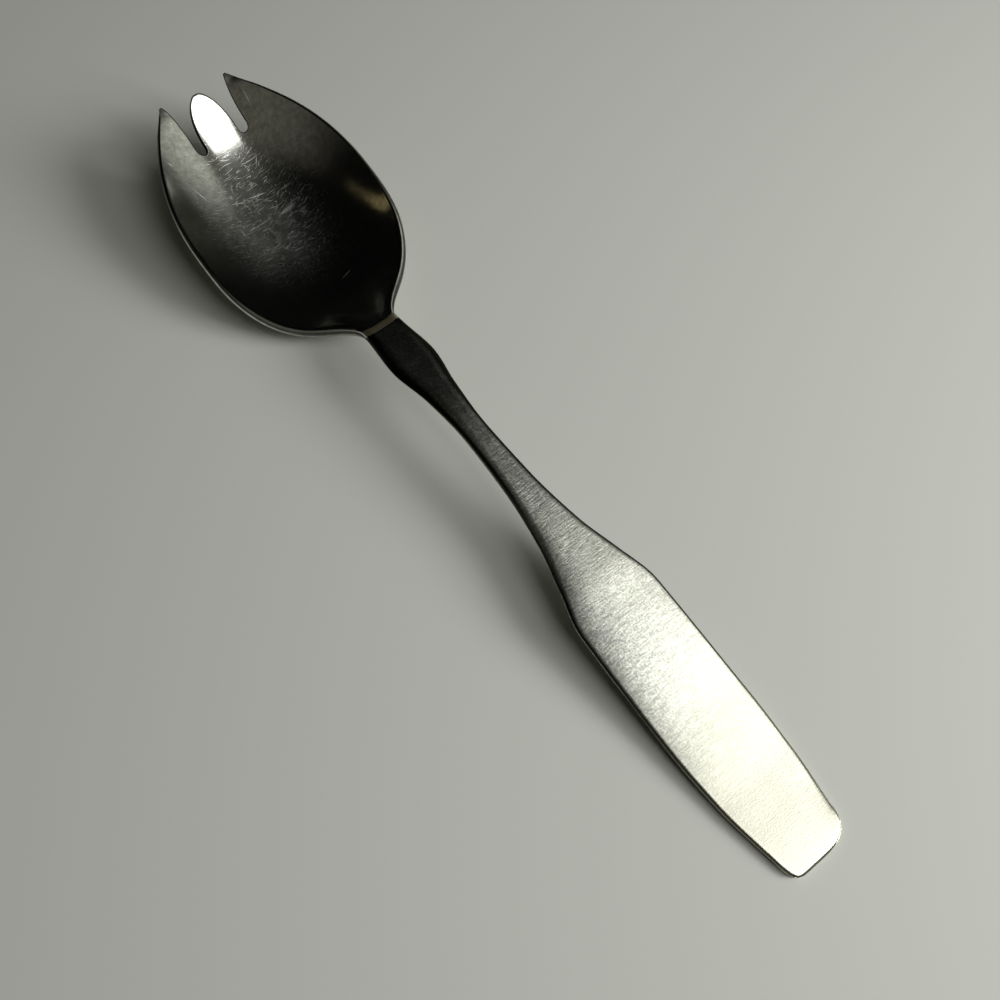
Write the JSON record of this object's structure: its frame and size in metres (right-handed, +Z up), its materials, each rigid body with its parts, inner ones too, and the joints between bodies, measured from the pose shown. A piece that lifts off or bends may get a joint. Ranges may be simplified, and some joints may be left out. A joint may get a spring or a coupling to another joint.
{
  "type": "spork",
  "caption": "Child's spork pressed from one sheet of stainless steel: oval bowl with short rounded tines, narrow collared neck and a flat satin blade handle with a blunt end.",
  "frame": {"origin": "on the table, under the middle of the spork's length and width", "axes": "+X from the blunt end of the handle to the tine tips, +Y across to the left tine, +Z up from the table"},
  "size_m": [0.141, 0.0302, 0.0128],
  "materials": {
    "stainless_steel": "worn: mirror-polished bowl with fine scratches, satin handle"
  },
  "bodies": {
    "root": {"handle": "stainless_steel", "neck": "stainless_steel", "bowl": "stainless_steel", "left_tine": "stainless_steel", "middle_tine": "stainless_steel", "right_tine": "stainless_steel"}
  },
  "joints": []
}
